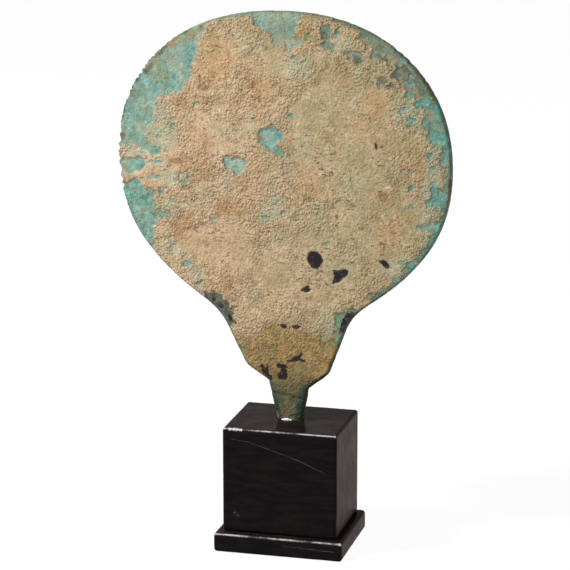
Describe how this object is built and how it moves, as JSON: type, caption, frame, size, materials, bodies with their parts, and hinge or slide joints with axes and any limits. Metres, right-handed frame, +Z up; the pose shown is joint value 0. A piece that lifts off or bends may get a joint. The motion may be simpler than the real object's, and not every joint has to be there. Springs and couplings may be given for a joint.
{
  "type": "hand mirror",
  "caption": "Ancient cast bronze hand mirror with a broad crusted disc and tapering tang, standing in the slot of a black lacquered wooden block on a base plate.",
  "frame": {"origin": "on the underside of the base plate, straight below the point where the tang enters the block", "axes": "+Z up through the stand and the mirror, +X to the right and +Y to the back as the mirror's crusted side is looked at"},
  "size_m": [0.1484, 0.0466, 0.2301],
  "materials": {
    "crusted_bronze": "old bronze under a dry tan burial crust, with pale green and teal patina and a few black spots, matt",
    "black_lacquer": "black lacquered wood, glossy, with fine streaks, scratches and worn edges",
    "dried_adhesive": "dried whitish adhesive, satin"
  },
  "bodies": {
    "root": {"mirror": "crusted_bronze", "block": "black_lacquer", "base_plate": "black_lacquer", "adhesive_bead": "dried_adhesive"}
  },
  "joints": []
}
